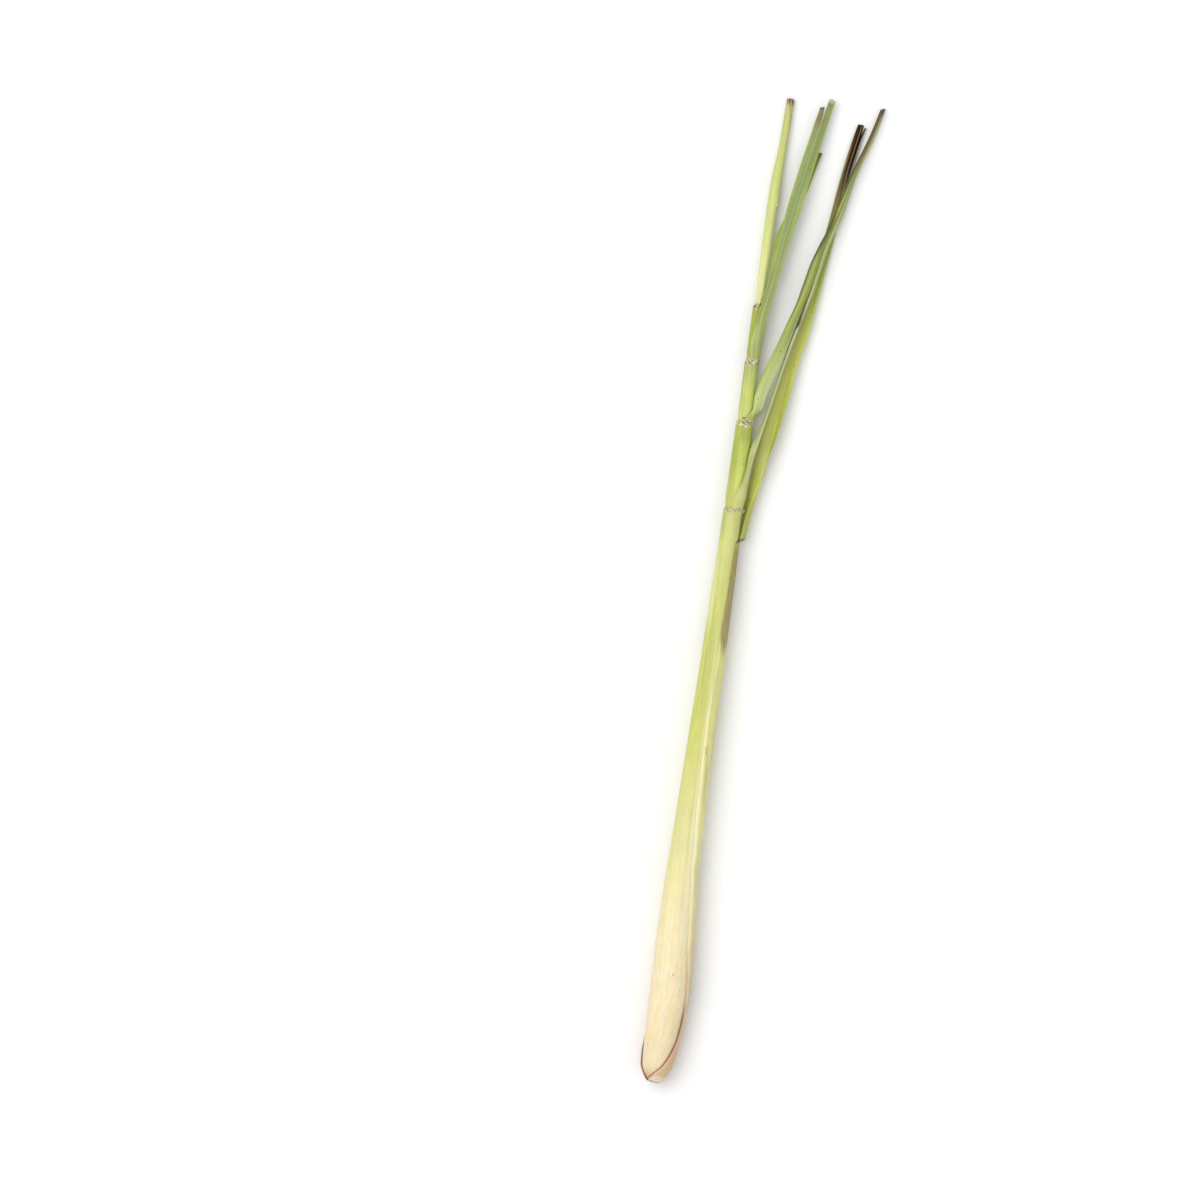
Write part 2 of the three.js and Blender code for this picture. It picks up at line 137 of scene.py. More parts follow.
# A leaf wraps its sheath from one margin angle to the other in `columns` strips, of which the middle
# 2 * reach go on as the blade. The blade's midrib runs along x and z up to the tip, over `opening` it turns
# from the sheath's curve to its own, and `ear` is how far the mouth stands out beside it. A split blade has
# two tips, parted at a share of its width: each has an end, a shift to the right and how much it narrows.
LEAVES = [
    {
        "name": "leaf_1", "foot": FOOT, "columns": 14, "reach": 7,
        "margins": [
            through({1.5: -209, 4.2: -197, 11: -186, 15: -174, 21: -158, 35: -148, 60: -143, 162: -135,
                205: -122, 230: -105}),
            through({1.5: 149, 2.9: 118, 6.3: 80, 12: 51, 20: 30, 30: 24, 45: 36, 79: 50, 162: 74, 205: 58,
                230: 42}),
        ],
        "wall": through({7: 0.6, 20: 0.9, 30: 1, 55: 1, 80: 0.85, 140: 0.6}),
        "ear": 0, "opening": 2, "tip": 410.5,
        "x": through({231: 6.4, 242: 7.7, 255: 10.1, 272: 12.7, 288: 14.4, 305: 16.4, 322: 19.9, 339: 22.4,
            356: 24.7, 372: 26.7, 389: 28.8, 406: 31.8, 411: 32.8}),
        "z": through({231: 6.7, 255: 5.8, 288: 4.1, 322: 2.7, 356: 1.5, 389: 0.8, 411: 0.33}),
        "low": half({231: 4.8, 255: 5.2, 272: 5.5, 288: 4.9, 300: 4, 320: 3.2, 360: 2.6, 411: 2.2},
            {232: 233, 255: 207, 280: 165, 310: 150, 411: 146}),
        "high": half({231: 2.6, 262: 2.8, 290: 3.3, 340: 2.5, 411: 2.2},
            {232: 138, 255: 112, 280: 60, 310: 35, 411: 34}),
        "split": {"from": 402, "at": 0.5, "low": (410.5, 0, 0.15), "high": (409.4, 0.5, 0.4)},
    },
    {
        "name": "leaf_2", "foot": FOOT, "columns": 22, "reach": 3, "margins": rolled(45),
        "radius": stalk_radius, "ear": 1.5, "opening": 14, "tip": 418.3,
        "x": through({243: 2.9, 255: 4.3, 263: 5.2, 272: 6.8, 288: 10, 305: 13.3, 322: 16.9, 339: 21.1,
            356: 24.3, 372: 28.6, 389: 32.3, 406: 37.8, 419: 40.9}),
        "z": through({243: 10.8, 263: 10.3, 288: 9.8, 322: 8.8, 356: 7, 389: 4, 419: 1.5}),
        "low": half({243: 4.4, 288: 3.7, 322: 3, 372: 2.2, 419: 1},
            {243: -62, 257: -82, 288: -76, 330: -70, 372: -60, 419: -40}),
        "high": half({243: 3.2, 263: 2, 275: 3, 288: 3.7, 322: 3, 372: 2.2, 419: 1},
            {243: 125, 260: 138, 275: 235, 288: 254, 330: 250, 372: 250, 419: 230}),
    },
    {
        "name": "leaf_3", "foot": 4.5, "columns": 18, "reach": 3, "margins": rolled(40),
        "radius": through({243: 3.95, 262: 3.95, 272: 3.8, 280: 3.6}), "ear": 0.3, "opening": 7, "tip": 417.7,
        "x": through({280: 3.4, 288: 4.3, 297: 6.4, 305: 8.8, 322: 13.4, 339: 18.3, 356: 22.1, 372: 27.2,
            389: 31.9, 406: 37.3, 418: 40.3}),
        "z": through({280: 9.2, 297: 9.6, 322: 9.2, 356: 7.9, 389: 5.6, 418: 3.1}),
        "low": half({280: 3.3, 288: 3.1, 297: 2.9, 305: 2.9, 322: 2.2, 340: 2, 372: 1.1, 418: 0.7},
            {280: -35, 297: -25, 310: -16, 340: -20, 372: -38, 418: -48}),
        "high": half({280: 3, 288: 2.5, 297: 2.8, 305: 2.6, 314: 2, 331: 1.4, 339: 1.9, 347: 2, 356: 1.3,
            364: 0.8, 372: 1, 389: 1.2, 418: 0.8},
            {280: 222, 297: 205, 310: 194, 356: 198, 418: 208}),
    },
    {
        "name": "leaf_4", "foot": 7.5, "columns": 16, "reach": 3, "margins": rolled(57),
        "radius": through({280: 3.25, 293: 2.98, 305: 2.9}), "ear": 0.5, "opening": 18, "tip": 419.1,
        "x": through({305: 0.5, 322: 1.5, 339: 4, 356: 6.4, 372: 9, 389: 11.8, 406: 14.9, 419: 17}),
        "z": through({305: 9.4, 322: 9.7, 339: 9.6, 372: 8, 419: 4.6}),
        "low": half({305: 3.2, 322: 2.4, 339: 2.2, 356: 2.35, 372: 3.1, 419: 3},
            {305: -34, 322: -28, 345: -15, 419: -12}),
        "high": half({305: 3.4, 322: 2.4, 339: 2.2, 356: 2.35, 372: 3.1, 419: 2.6},
            {305: 214, 322: 208, 345: 194, 419: 192}),
        "split": {"from": 407.5, "at": -0.09, "low": (419.1, 0.35, -0.1), "high": (415.5, -0.15, 0.37)},
    },
    {
        "name": "leaf_5", "foot": 10.5, "columns": 16, "reach": 3, "margins": rolled(20),
        "radius": through({305: 2.6, 329: 2.45}), "ear": 0.2, "opening": 14, "tip": 396.6,
        "x": through({329: 1.8, 339: 2.9, 356: 4.9, 372: 9.2, 381: 11.7, 396: 15.5}),
        "z": through({329: 6.4, 339: 6.4, 356: 5.8, 396: 4.2}),
        "low": half({329: 2.8, 356: 2.6, 380: 2.4, 396: 2.2}, {329: -50, 356: -26, 396: -20}),
        "high": half({329: 2.8, 356: 2.6, 396: 2}, {329: 215, 356: 200, 396: 198}),
    },
]


def wall(i, s):
    """The thickness of a sheath."""
    leaf = LEAVES[i]
    own = leaf["wall"](s) if "wall" in leaf else np.maximum(WALL, WALL_SHARE * stalk_radius(s) - CLEARANCE)
    return blend(own, LIP, smooth(s, COLLARS[i] - LIP_LENGTH, COLLARS[i]))


def inner_radius(i, s):
    return outer_radius(i, s) - wall(i, s)


def outer_radius(i, s):
    """The outer radius of a sheath, or of the heart leaf, which comes after the last sheath."""
    if i == 0:
        return outer_radius(1, s) + DRY_CLEARANCE + wall(0, s)
    own = LEAVES[i]["radius"](s) if i < len(LEAVES) else heart_radius(s)
    if i == 1:
        return own
    mouth = COLLARS[i - 1]
    nested = inner_radius(i - 1, np.minimum(s, mouth)) - CLEARANCE
    return blend(nested, own, smooth(s, mouth, mouth + SWELL))


def ring_point(s, radius, angle):
    """Points at a radius and an angle round the axis, in the order x, y, z."""
    a = np.radians(angle)
    s, radius, a = np.broadcast_arrays(s, radius, a)
    return np.stack([axis_x(s) + radius * np.cos(a), s, axis_z(s) + radius * np.sin(a)], -1)


# ---- meshes from sheets

OWN, CUT, SKIN = 0, 1, 2  # a leaf's material slots: its own surface, its cut ends and its ligule
SHARP = 50  # degrees between two faces whose edge stays sharp


class Sheet:
    """A leaf of changing thickness: grids of outer and inner points, welded where they share a row."""

    def __init__(self):
        self.outer, self.inner, self.facts, self.quads, self.slots = [], [], [], [], []
        self.size = 0

    def add(self, outer, inner, **facts):
        """Adds grids of points with their facts and returns their numbers."""
        shape = outer.shape[:2]
        self.outer.append(outer.reshape(-1, 3))
        self.inner.append(inner.reshape(-1, 3))
        given = [facts.get(key, 0.0) for key in ("across", "edge", "end")]
        self.facts.append(np.stack([np.broadcast_to(value, shape).reshape(-1) for value in given], -1))
        ids = np.arange(self.size, self.size + shape[0] * shape[1]).reshape(shape)
        self.size += ids.size
        return ids

    def patch(self, ids, slot=OWN):
        """Fills a grid of points with quads."""
        a, b, c, d = ids[:-1, :-1], ids[1:, :-1], ids[1:, 1:], ids[:-1, 1:]
        quads = np.stack([a, b, c, d], -1).reshape(-1, 4)
        self.quads.append(quads)
        self.slots.append(np.full(len(quads), slot))

    def build(self, name, materials):
        """Joins the outer and the inner face by a rim along every open edge, all of it above the table."""
        quads, slots = np.concatenate(self.quads), np.concatenate(self.slots)
        n = self.size
        edges = np.concatenate([quads[:, [k, (k + 1) % 4]] for k in range(4)])
        is_rim = ~np.isin(edges[:, 0] * n + edges[:, 1], edges[:, 1] * n + edges[:, 0])
        a, b = edges[is_rim].T
        across, edge, end = np.concatenate(self.facts).T
        is_cut = (end[a] > 0.5) & (end[b] > 0.5)
        rim_slots = np.where(is_cut, CUT, np.tile(slots, 4)[is_rim])
        faces = np.concatenate([quads, quads[:, ::-1] + n, np.stack([b, a, a + n, b + n], -1)])
        points = np.concatenate([*self.outer, *self.inner])
        points[:, 2] = np.maximum(points[:, 2], 0)
        return build_mesh(name, points, faces, materials, np.concatenate([slots, slots, rim_slots]), {
            "along": points[:, 1],
            "across": np.tile(across, 2),
            "edge": np.tile(edge, 2),
            "inside": np.repeat([0.0, 1.0], n),
        })


def add_object(name, data):
    """An object of the scene."""
    made = bpy.data.objects.new(name, data)
    bpy.context.scene.collection.objects.link(made)
    return made


def build_mesh(name, points, faces, materials, slots, facts):
    """A mesh object of faces with four corners, or three and -1, and with its facts as point attributes."""
    mesh = bpy.data.meshes.new(name)
    counts = (faces >= 0).sum(1)
    mesh.vertices.add(len(points))
    mesh.vertices.foreach_set("co", ((points + SHIFT) * MM).astype(np.float32).ravel())
    mesh.loops.add(int(counts.sum()))
    mesh.loops.foreach_set("vertex_index", faces[faces >= 0].astype(np.int32))
    mesh.polygons.add(len(faces))
    mesh.polygons.foreach_set("loop_start", np.concatenate([[0], np.cumsum(counts)[:-1]]).astype(np.int32))
    mesh.polygons.foreach_set("material_index", np.asarray(slots, np.int32))
    mesh.polygons.foreach_set("use_smooth", np.ones(len(faces), bool))
    for key, values in facts.items():
        mesh.attributes.new(key, "FLOAT", "POINT").data.foreach_set("value", np.asarray(values, np.float32))
    mesh.update(calc_edges=True)
    mesh.validate()
    mesh.set_sharp_from_angle(angle=math.radians(SHARP))
    for material in materials:
        mesh.materials.append(material)
    return add_object(name, mesh)


def replace(made, node):
    """Lets a fine piece stand for a CAD node."""
    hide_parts(node)
    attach(made, "root")


# ---- the leaves

FINE = [8, 7, 6, 6, 5]  # fine columns in one of each leaf's own columns
FOOT_PART, FOOT_STEP, STEM_STEP = 30, 0.6, 1.5  # rows of the two outer sheaths: close up to here, then wider
HIDDEN_STEP, SHOWN_STEP, SHOWN_BELOW = 6, 1, 4  # rows of an inner sheath, wide until this far below the mouth
MOUTH_PART, MOUTH_STEP = 10, 0.4  # every sheath's rows just below its collar
FOLD_PART, FOLD_STEP, BLADE_STEP = 24, 0.5, 1  # rows of a blade: close while it unfolds, then wider
TIP_PART, TIP_ROWS, SPLIT_ROWS = 6, 13, 24  # rows at its tip

DRY_EDGE, DRY_GAP = 0.22, 0.09  # the dry sheath's thickness at its margins, and their gap to the next sheath
LAP = 14  # degrees that one margin of a rolled sheath reaches over the other
LAP_EDGE, LAP_ROOM = 0.24, 0.32  # how thick the margin above is, and how far the one below gives way
EAR_WIDTH = 0.55  # of the two ears of a mouth, in the leaf's own columns
RIM, RIM_BELOW, RIM_WIDTH = 0.09, 1.6, 0.9  # the raised ring below a collar
THIN_EDGE = 0.2  # a blade's thickness at its margins
RIB, RIB_WIDTH = 0.16, 0.45  # what the midrib adds to a blade's thickness, and its half-width


def sheath_rows(i):
    foot, mouth = LEAVES[i]["foot"], COLLARS[i] - MOUTH_PART
    if i < 2:
        parts = [np.arange(foot, FOOT_PART, FOOT_STEP), np.arange(FOOT_PART, mouth, STEM_STEP)]
    else:
        shown = COLLARS[i - 1] - SHOWN_BELOW
        parts = [np.arange(foot, shown, HIDDEN_STEP), np.arange(shown, mouth, SHOWN_STEP)]
    parts.append(np.arange(mouth, COLLARS[i] - MOUTH_STEP / 2, MOUTH_STEP))
    return np.concatenate([*parts, [COLLARS[i]]])[:, None]


def add_sheath(sheet, i):
    """The tube of a leaf from its foot to its collar. Returns the numbers of its points."""
    leaf, collar = LEAVES[i], COLLARS[i]
    columns, reach = leaf["columns"], leaf["reach"]
    s = sheath_rows(i)
    share = (np.arange(columns * FINE[i] + 1) / (columns * FINE[i]))[None, :]
    start, end = (margin(s) for margin in leaf["margins"])
    angle = blend(start, end, share)
    outer, inner = outer_radius(i, s) + 0 * share, inner_radius(i, s) + 0 * share
    thick = outer - inner
    from_start = np.radians(angle - start) * outer
    edge = np.minimum(from_start, np.radians(end - angle) * outer)
    across = np.radians(angle - (start + end) / 2) * outer
    if i == 0:  # the margins are dry, thin and a little wavy
        pressed = (DRY_CLEARANCE - DRY_GAP) * (1 - smooth(edge, 0, 2.5)) * smooth(s, 1, 4)
        outer = outer - (1 - smooth(edge, 0, 1.6)) * (thick - DRY_EDGE) - pressed
        inner = inner - pressed
        wavy = 1.6 * noise(5, s / 7, 0) * np.sign(share - 0.5)
        angle = angle + wavy * (1 - smooth(edge, 0, 3)) * smooth(s, 30, 60)
    else:  # the last margin laps over the first
        angle = angle + LAP * smooth(share, 0.93, 1)
        outer = outer - LAP_ROOM * (1 - smooth(from_start, 0, 1.2))
        inner = inner + np.maximum(0, thick - LAP_EDGE) * smooth(share, 0.91, 0.96)
    ridge = 0.035 * noise(11 + i, across / 0.8, s / 60) + 0.03 * noise(21 + i, across / 2.4, s / 35)
    outer = outer + ridge * smooth(edge, 0, 1)
    column = (share - 0.5) * columns
    ears = bell(column + reach, EAR_WIDTH) + 0.4 * bell(column - reach, EAR_WIDTH)
    push = leaf["ear"] * ears * smooth(s, collar - 1.6, collar)
    uneven = 1 + 0.9 * noise(71 + i, across / 0.9, 0)
    rim = RIM * bell(s - collar + RIM_BELOW, RIM_WIDTH) * uneven
    ends = np.isclose(s, collar) | np.isclose(s, leaf["foot"])
    ids = sheet.add(ring_point(s, outer + push + rim, angle), ring_point(s, inner + push, angle),
        across=across, edge=edge, end=ends)
    sheet.patch(ids)
    return ids


def blade_grid(i, s, f):
    """Outer and inner points of a blade at distances s and shares f of its width, from -1 to 1."""
    leaf, collar = LEAVES[i], COLLARS[i]
    low, high = leaf["low"], leaf["high"]
    width = np.where(f < 0, low["width"](s), high["width"](s))
    heading = np.radians(np.where(f < 0, low["heading"](s), high["heading"](s)))
    from_rib = np.abs(f) * width
    x = leaf["x"](s) + from_rib * np.cos(heading) - axis_x(s)
    z = leaf["z"](s) + from_rib * np.sin(heading) - axis_z(s)
    start, end = (margin(collar) for margin in leaf["margins"])
    at_mouth = blend(start, end, (leaf["columns"] / 2 + f * leaf["reach"]) / leaf["columns"])
    opened = smooth(s, collar, collar + leaf["opening"])
    angle = blend(at_mouth, np.degrees(np.arctan2(z, x)), opened)
    radius = blend(inner_radius(i, collar) + BLADE / 2, np.hypot(x, z), opened)
    clear = outer_radius(i + 1, s) + BLADE_CLEARANCE + BLADE / 2
    middle = ring_point(s, np.maximum(clear, radius), angle)
    for _ in range(3):  # rounds the fold along the midrib
        middle[:, 1:-1] = (middle[:, :-2] + 2 * middle[:, 1:-1] + middle[:, 2:]) / 4
    step = np.gradient(middle, axis=1)
    normal = np.stack([step[..., 2], 0 * step[..., 0], -step[..., 0]], -1)
    normal /= np.linalg.norm(normal, axis=-1, keepdims=True)
    thick = THIN_EDGE + (BLADE - THIN_EDGE) * (1 - np.abs(f) ** 3) + RIB * bell(from_rib, RIB_WIDTH)
    thick = blend(LIP, thick, smooth(s, collar, collar + 3))
    across = np.sign(f) * from_rib
    ridge = 0.022 * noise(31 + i, across / 0.55 + 9, s / 80) + 0.03 * noise(41 + i, across / 1.5 + 5, s / 30)
    outer = middle + normal * (thick / 2 + ridge * smooth(s, collar, collar + 5))[..., None]
    inner = middle - normal * (thick / 2)[..., None]
    return {"outer": outer, "inner": inner, "across": across, "edge": width - from_rib}


def ragged(i, s, f, tip):
    """Distances whose last few rows follow a torn end, which lies up to 0.9 mm short of the tip."""
    tear = 0.25 * (1 + noise(61 + i, f * 2.3 + 7, 0)) + 0.2 * (1 + noise(81 + i, f * 7 + 3, 0))
    return s - tear * smooth(s, tip - 4, tip)


def add_blade(sheet, i, sheath):
    """The blade of a leaf, welded to the middle of its sheath's last row."""
    leaf, collar = LEAVES[i], COLLARS[i]
    split = leaf.get("split")
    stop = split["from"] if split else leaf["tip"]
    half_columns = leaf["reach"] * FINE[i]
    middle = leaf["columns"] * FINE[i] // 2
    f = np.linspace(-1, 1, 2 * half_columns + 1)[None, :]
    rows = np.concatenate([np.arange(collar + FOLD_STEP, collar + FOLD_PART, FOLD_STEP),
        np.arange(collar + FOLD_PART, stop - TIP_PART, BLADE_STEP),
        np.linspace(stop - TIP_PART, stop, TIP_ROWS)])[:, None]
    s = rows + 0 * f if split else ragged(i, rows + 0 * f, f, leaf["tip"])
    end = np.isclose(rows, stop) & (not split)
    ids = sheet.add(**blade_grid(i, s, f), end=end)
    ids = np.concatenate([sheath[-1:, middle - half_columns:middle + half_columns + 1], ids])
    sheet.patch(ids)
    if not split:
        return
    cleft = int(round((split["at"] + 1) * half_columns))
    for side, part in (("low", slice(0, cleft + 1)), ("high", slice(cleft, None))):
        tip, shift, taper = split[side]
        rows = np.linspace(stop, tip, SPLIT_ROWS)[1:, None]
        t = (rows - stop) / (tip - stop)
        own = f[:, part]
        narrowed = blend(own, own.mean(), taper * t)
        grid = blade_grid(i, ragged(i, rows + 0 * narrowed, own, tip), narrowed)
        for face in ("outer", "inner"):
            grid[face][..., 0] += shift * t ** 1.5
        more = sheet.add(**grid, end=np.isclose(rows, tip))
        sheet.patch(np.concatenate([ids[-1:, part], more]))


LIGULE_COLUMNS, LIGULE_ROWS = 150, 7
LIGULE_BELOW, LIGULE_GAP, LIGULE_WALL = 1.2, 0.035, 0.07  # its start, its gap to the next leaf, its thickness


def add_ligule(sheet, i):
    """The thin torn skin that stands up inside the mouth of a sheath, against the next leaf."""
    leaf, collar = LEAVES[i], COLLARS[i]
    start, end = (margin(collar) for margin in leaf["margins"])
    w = np.linspace(0, 1, LIGULE_COLUMNS)[None, :]
    t = np.linspace(0, 1, LIGULE_ROWS)[:, None]
    angle = blend(start + 1, end - 1, w)
    height = 0.55 + 0.35 * noise(91 + i, w * 14, 0) + 0.3 * noise(92 + i, w * 45, 0)
    s = blend(collar - LIGULE_BELOW, collar + np.maximum(height, 0.1), t)
    radius = outer_radius(i + 1, s) + LIGULE_GAP + 0.03 * noise(93 + i, w * 30, t * 2)
    ids = sheet.add(ring_point(s, radius + LIGULE_WALL, angle), ring_point(s, radius, angle),
        across=w * 10, edge=(1 - t) * 2)
    sheet.patch(ids, SKIN)


def leaf_object(i, materials):
    sheet = Sheet()
    add_blade(sheet, i, add_sheath(sheet, i))
    if i > 0:
        add_ligule(sheet, i)
    replace(sheet.build(LEAVES[i]["name"] + "_fine", materials), LEAVES[i]["name"])


# ---- the heart and the crown

HEART_FOOT = 14
HEART_MARGIN = 24  # the angle of its free margin
HEART_TURNS = 5
HEART_PITCH = 0.145  # how far each turn lies inside the one before, as a share of the heart's radius
HEART_GAP = 0.02  # between two turns, as such a share
HEART_THIN = 0.14  # the part of a turn over which its free margin thins
HEART_TWIST = 80  # degrees that its free margin turns to the left up to the cut end
HEART_SCAR, HEART_SCAR_ANGLE = 371.7, 50  # where the scar is, on the right of the heart
HEART_STEP = 1.2  # between the rows that show


def heart_object(materials):
    """The innermost leaf, rolled up: a sheet that winds inwards."""
    sheet = Sheet()
    shown = COLLARS[-1] - 6
    s = np.concatenate([np.arange(HEART_FOOT, shown, 8), np.arange(shown, TOP - 5, HEART_STEP),
        np.linspace(TOP - 5, TOP, 12)])[:, None]
    turn = np.linspace(0, HEART_TURNS, 300)[None, :]
    full = outer_radius(len(LEAVES), s)
    from_margin = smooth(turn, 0, HEART_THIN)
    thick = full * (HEART_PITCH - HEART_GAP) * blend(0.4, 1, from_margin) + 0 * s
    pressed = full * (0.5 * HEART_PITCH - 0.015) * (1 - from_margin)
    ridge = 0.03 * noise(51, turn * 14, s / 50) * smooth(turn, 0, 0.2) * (1 - smooth(turn, 0.7, 0.85))
    radius = full * (1 - HEART_PITCH * turn) + ridge - pressed
    twist = HEART_TWIST * smooth(s, TOP - 11, TOP) * (1 - smooth(turn, 0, 0.45))
    angle = HEART_MARGIN + 360 * turn + twist
    across = np.radians(360 * turn) * full
    past_scar = s - HEART_SCAR
    swell = 0.3 * smooth(past_scar, -0.4, 0.8) * (1 - smooth(past_scar, 2, 14))
    facing = np.maximum(np.cos(np.radians(angle - 15)), 0)
    beside_scar = np.mod(angle, 360) - HEART_SCAR_ANGLE
    wart = 0.45 * bell(past_scar, 0.7) * bell(beside_scar, 14) * (turn < 1.2)
    radius = radius + swell * facing ** 2 + wart
    tear = 0.5 * (1 + noise(52, turn * 9, 0)) + 0.3 * (1 + noise(53, turn * 33, 0))
    torn = s - tear * smooth(s, TOP - 4, TOP)
    ids = sheet.add(ring_point(torn, radius, angle), ring_point(torn, radius - thick, angle),
        across=across, edge=across, end=np.isclose(s, TOP) | np.isclose(s, HEART_FOOT))
    sheet.patch(ids)
    replace(sheet.build("heart_leaf_fine", materials), "heart_leaf")


CROWN_CUT_RADIUS, CROWN_CUT_DEPTH = 2.1, 0.25  # the cut face, and how deep its middle lies
CROWN_COLUMNS, CROWN_FACE_RINGS, CROWN_STEP_RINGS = 72, 12, 8


def crown_object(materials):
    """The solid crown, with a rough cut face, stepping in under the foot of each leaf."""
    face = [(0.0, CROWN_CUT_RADIUS * k / CROWN_FACE_RINGS) for k in range(1, CROWN_FACE_RINGS + 1)]
    side = []
    feet = [leaf["foot"] for leaf in LEAVES[1:]] + [HEART_FOOT]
    for k in range(1, len(feet)):
        s = np.linspace(feet[k - 1], feet[k] - CLEARANCE, CROWN_STEP_RINGS)
        side += zip(s, inner_radius(k, s) - CLEARANCE)
    s, radius = np.array(face + side).T
    turn = np.arange(CROWN_COLUMNS) / CROWN_COLUMNS
    on_face = (np.arange(len(s)) < len(face))[:, None]
    rough = 0.16 * (1 + noise(54, radius[:, None] * 3, turn[None, :] * 21))
    rings = 0.1 * (np.sin(radius * 9)[:, None] + 1)
    depth = s[:, None] + np.where(on_face, rough + rings, 0)
    around = ring_point(depth, radius[:, None], 360 * turn[None, :])
    centres = [ring_point(np.array([CROWN_CUT_DEPTH]), 0.0, 0.0), ring_point(s[-1:], 0.0, 0.0)]
    points = np.concatenate([around.reshape(-1, 3), *centres])
    near = np.arange(len(s) * CROWN_COLUMNS).reshape(len(s), CROWN_COLUMNS)
    far = np.roll(near, -1, axis=1)
    quads = np.stack([near[:-1], near[1:], far[1:], far[:-1]], -1).reshape(-1, 4)

    def every(value):
        return np.full(CROWN_COLUMNS, value)

    caps = [np.stack([every(near.size), near[0], far[0], every(-1)], -1),
        np.stack([every(near.size + 1), far[-1], near[-1], every(-1)], -1)]
    slots = [np.repeat(np.where(on_face[1:, 0], CUT, OWN), CROWN_COLUMNS), every(CUT), every(OWN)]
    reach = np.append(np.repeat(radius, CROWN_COLUMNS), [0, 0])
    made = build_mesh("root_crown_fine", points, np.concatenate([quads, *caps]), materials,
        np.concatenate(slots),
        {"along": points[:, 1], "across": reach, "edge": reach, "inside": 0 * reach})
    replace(made, "root_crown")


# ---- materials


def tone(code):
    """The linear colour of a web colour such as f4e6bd."""
    parts = [int(code[k:k + 2], 16) / 255 for k in (0, 2, 4)]
    return (*[c / 12.92 if c <= 0.04045 else ((c + 0.055) / 1.055) ** 2.4 for c in parts], 1)


class Shading:
    """A Principled material in the making, and its colour so far. Most methods return their nodes' output."""

    colour = None

    def __init__(self, name, roughness, specular):
        self.material = bpy.data.materials.new(name)
        self.material.use_nodes = True
        self.nodes = self.material.node_tree.nodes
        self.shader = self.nodes["Principled BSDF"]
        self.shader.inputs["Roughness"].default_value = roughness
        self.shader.inputs["Specular IOR Level"].default_value = specular

    def plug(self, socket, value):
        if isinstance(value, bpy.types.NodeSocket):
            self.material.node_tree.links.new(value, socket)
        else:
            socket.default_value = value

    def fact(self, name):
        node = self.nodes.new("ShaderNodeAttribute")
        node.attribute_name = name
        return node.outputs["Fac"]

    def math(self, operation, *values):
        node = self.nodes.new("ShaderNodeMath")
        node.operation = operation
        for socket, value in zip(node.inputs, values):
            self.plug(socket, value)
        return node.outputs[0]

    def add(self, *values):
        return reduce(partial(self.math, "ADD"), values)

    def times(self, *values):
        return reduce(partial(self.math, "MULTIPLY"), values)

    def step(self, value, low, high):
        """0 at low and 1 at high, with a soft step between them. low may be the greater one."""
        node = self.nodes.new("ShaderNodeMapRange")
        node.interpolation_type = "SMOOTHSTEP"
        for key, number in (("Value", value), ("From Min", low), ("From Max", high)):
            self.plug(node.inputs[key], number)
        return node.outputs["Result"]

    def ramp(self, value, stops):
        """The first colour, which changes with a value through stops of web colours."""
        node = self.nodes.new("ShaderNodeValToRGB")
        reach = max(stops)
        while len(node.color_ramp.elements) < len(stops):
            node.color_ramp.elements.new(0.5)
        for element, (at, code) in zip(node.color_ramp.elements, stops.items()):
            element.position = at / reach
            element.color = tone(code)
        self.plug(node.inputs["Fac"], self.math("DIVIDE", value, reach))
        self.colour = node.outputs["Color"]

    def mix(self, share, a, b, kind="MIX"):
        node = self.nodes.new("ShaderNodeMix")
        node.data_type = "RGBA"
        node.blend_type = kind
        for index, value in ((0, share), (6, a), (7, b)):
            self.plug(node.inputs[index], value)
        return node.outputs[2]

    def tint(self, code, *shares):
        """Lays a web colour over the colour so far, as far as all the shares together let it."""
        self.colour = self.mix(self.times(*shares), self.colour, tone(code))

    def vary(self, *waves):
        """Lightens and darkens the colour so far by noises, each given with its strength."""
        total = 1.0
        for wave, strength in waves:
            total = self.add(total, self.times(self.math("SUBTRACT", wave, 0.5), 2 * strength))
        self.colour = self.mix(1.0, self.colour, total, "MULTIPLY")

    def noise(self, x, y, width, length, seed, detail=2.0):
        """Noise, about 0.5, in patches of the given width and length, over two coordinates in millimetres."""
        place = self.nodes.new("ShaderNodeCombineXYZ")
        self.plug(place.inputs[0], self.math("DIVIDE", x, width))
        self.plug(place.inputs[1], self.math("DIVIDE", y, length))
        place.inputs[2].default_value = seed
        node = self.nodes.new("ShaderNodeTexNoise")
        node.inputs["Scale"].default_value = 1
        node.inputs["Detail"].default_value = detail
        self.plug(node.inputs["Vector"], place.outputs[0])
        return node.outputs["Fac"]

    def finish(self, height):
        """Connects the colour and a relief, whose height is in millimetres."""
        self.plug(self.shader.inputs["Base Color"], self.colour)
        bump = self.nodes.new("ShaderNodeBump")
        bump.inputs["Distance"].default_value = MM
        self.plug(bump.inputs["Height"], height)
        self.plug(self.shader.inputs["Normal"], bump.outputs["Normal"])
        return self.material


FADED, UMBER, RUST, DRAB = "dcd8b2", "5b4030", "96603a", "7c6a48"
VEIN_SPACING = 0.62


